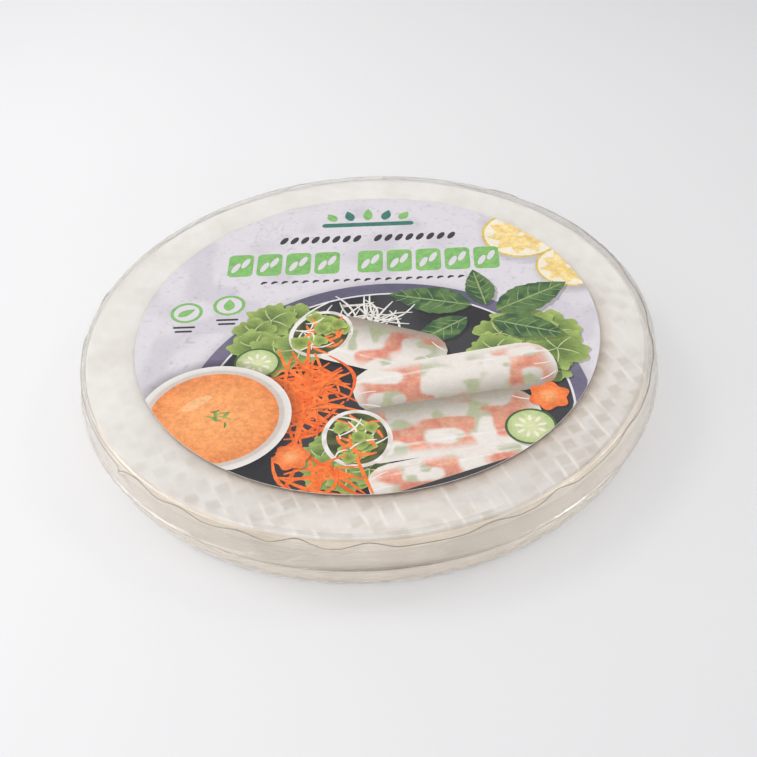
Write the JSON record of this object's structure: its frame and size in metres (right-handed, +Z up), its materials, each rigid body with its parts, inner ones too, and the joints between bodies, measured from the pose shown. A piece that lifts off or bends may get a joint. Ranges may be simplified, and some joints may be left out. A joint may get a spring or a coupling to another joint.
{
  "type": "sealed round pack of rice paper wrappers",
  "caption": "Flat round clear pack holding a stack of dried rice paper wrappers, with a lid, a shrink band and a round printed label.",
  "frame": {"origin": "centre of the underside, on the surface that the pack stands on", "axes": "+Z up out of the label, -Y towards the viewer who reads the label upright"},
  "size_m": [0.2296, 0.2296, 0.0261],
  "materials": {
    "clear_plastic": "clear, glossy, thin thermoformed sheet",
    "rice_paper": "dry, milky, slightly see-through, with a woven mat imprint",
    "label_print": "satin coated paper, printed in flat colour fields",
    "shrink_film": "clear, glossy, wrinkled shrink film"
  },
  "bodies": {
    "root": {"case_tray": "clear_plastic", "case_lid": "clear_plastic", "rice_paper_stack": "rice_paper", "rice_paper_top_sheet": "rice_paper", "printed_label": "label_print", "shrink_band": "shrink_film"}
  },
  "joints": []
}
